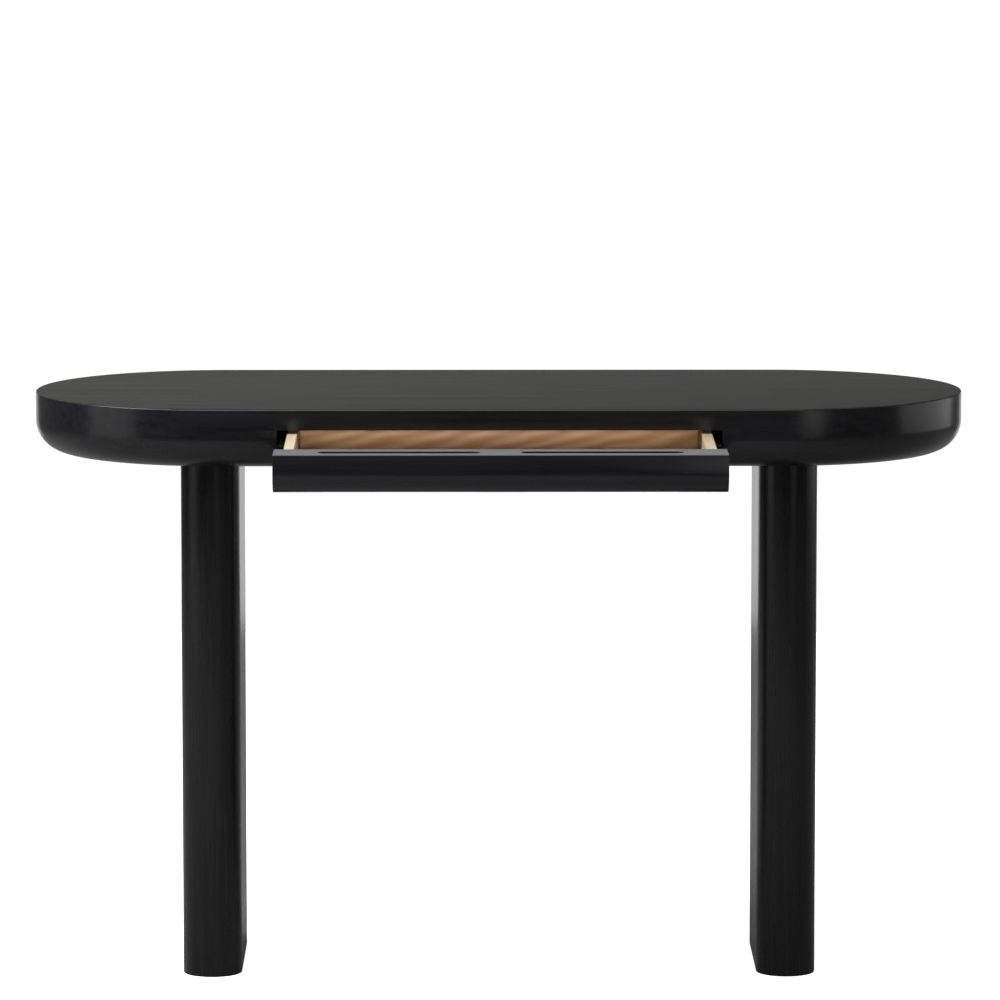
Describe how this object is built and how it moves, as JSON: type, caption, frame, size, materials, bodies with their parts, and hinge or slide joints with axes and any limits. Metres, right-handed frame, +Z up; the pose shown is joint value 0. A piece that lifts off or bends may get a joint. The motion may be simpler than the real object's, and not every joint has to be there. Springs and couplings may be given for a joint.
{
  "type": "console table",
  "caption": "Console table with a thick stadium-shaped slab on two round-ended slab legs, and a wide drawer with finger slots on telescopic ball-bearing slides.",
  "frame": {"origin": "on the floor, under the middle of the whole object's box with the drawer drawn out 255 mm", "axes": "+X along the slab to the right as seen from the front, +Y to the back, +Z up; the drawer opens towards -Y"},
  "size_m": [1.2, 0.735, 0.75],
  "materials": {
    "black_stained_oak": "black-stained, satin lacquer, fine lengthwise grain",
    "core_wood": "planed, unfinished",
    "natural_pine": "clear matt lacquer",
    "beech_dowel": "fluted, unfinished",
    "zinc_fastener": "bright zinc plate",
    "black_zinc_slide": "black zinc plate",
    "bright_steel": "bright steel, lightly oiled"
  },
  "bodies": {
    "table": {"top_board": "black_stained_oak", "left_rim": "black_stained_oak", "right_rim": "black_stained_oak", "rear_rail": "black_stained_oak", "left_bay_wall": "black_stained_oak", "right_bay_wall": "black_stained_oak", "left_leg_block": "core_wood", "right_leg_block": "core_wood", "left_bottom_panel": "black_stained_oak", "right_bottom_panel": "black_stained_oak", "top_dowels": "beech_dowel", "rail_dowels": "beech_dowel", "bottom_panel_screws": "zinc_fastener", "left_leg_front_post": "black_stained_oak", "left_leg_rear_post": "black_stained_oak", "left_leg_inner_panel": "black_stained_oak", "left_leg_outer_panel": "black_stained_oak", "left_leg_top_block": "core_wood", "left_leg_foot_block": "black_stained_oak", "right_leg_front_post": "black_stained_oak", "right_leg_rear_post": "black_stained_oak", "right_leg_inner_panel": "black_stained_oak", "right_leg_outer_panel": "black_stained_oak", "right_leg_top_block": "core_wood", "right_leg_foot_block": "black_stained_oak", "left_tie_rods": "zinc_fastener", "right_tie_rods": "zinc_fastener", "tie_rod_nuts": "zinc_fastener", "tie_rod_washers": "zinc_fastener", "threaded_inserts": "zinc_fastener", "left_cabinet_member": "black_zinc_slide", "right_cabinet_member": "black_zinc_slide", "cabinet_member_screws": "zinc_fastener"},
    "drawer": {"drawer_front": "black_stained_oak", "drawer_left_side": "natural_pine", "drawer_right_side": "natural_pine", "drawer_back": "natural_pine", "drawer_bottom": "natural_pine", "drawer_dowels": "beech_dowel", "drawer_back_screws": "zinc_fastener", "drawer_bottom_screws": "zinc_fastener", "left_drawer_member": "black_zinc_slide", "right_drawer_member": "black_zinc_slide", "drawer_member_screws": "zinc_fastener"},
    "left_middle_member": {"left_middle_member": "black_zinc_slide"},
    "left_outer_cage": {"left_outer_ball_cage": "bright_steel"},
    "left_inner_cage": {"left_inner_ball_cage": "bright_steel"},
    "right_middle_member": {"right_middle_member": "black_zinc_slide"},
    "right_outer_cage": {"right_outer_ball_cage": "bright_steel"},
    "right_inner_cage": {"right_inner_ball_cage": "bright_steel"}
  },
  "joints": [
    {"name": "drawer_slide", "type": "slide", "parent": "table", "child": "drawer", "axis": [0, -1, 0], "range_m": [-0.255, 0.045]},
    {"name": "left_middle_member_slide", "type": "slide", "parent": "table", "child": "left_middle_member", "axis": [0, -1, 0], "range_m": [-0.1275, 0.0225]},
    {"name": "left_outer_cage_slide", "type": "slide", "parent": "table", "child": "left_outer_cage", "axis": [0, -1, 0], "range_m": [-0.06375, 0.01125]},
    {"name": "left_inner_cage_slide", "type": "slide", "parent": "table", "child": "left_inner_cage", "axis": [0, -1, 0], "range_m": [-0.19125, 0.03375]},
    {"name": "right_middle_member_slide", "type": "slide", "parent": "table", "child": "right_middle_member", "axis": [0, -1, 0], "range_m": [-0.1275, 0.0225]},
    {"name": "right_outer_cage_slide", "type": "slide", "parent": "table", "child": "right_outer_cage", "axis": [0, -1, 0], "range_m": [-0.06375, 0.01125]},
    {"name": "right_inner_cage_slide", "type": "slide", "parent": "table", "child": "right_inner_cage", "axis": [0, -1, 0], "range_m": [-0.19125, 0.03375]}
  ],
  "couplings": [
    {"joint": "left_middle_member_slide", "follows": "drawer_slide", "ratio": 0.5},
    {"joint": "left_outer_cage_slide", "follows": "drawer_slide", "ratio": 0.25},
    {"joint": "left_inner_cage_slide", "follows": "drawer_slide", "ratio": 0.75},
    {"joint": "right_middle_member_slide", "follows": "drawer_slide", "ratio": 0.5},
    {"joint": "right_outer_cage_slide", "follows": "drawer_slide", "ratio": 0.25},
    {"joint": "right_inner_cage_slide", "follows": "drawer_slide", "ratio": 0.75}
  ]
}
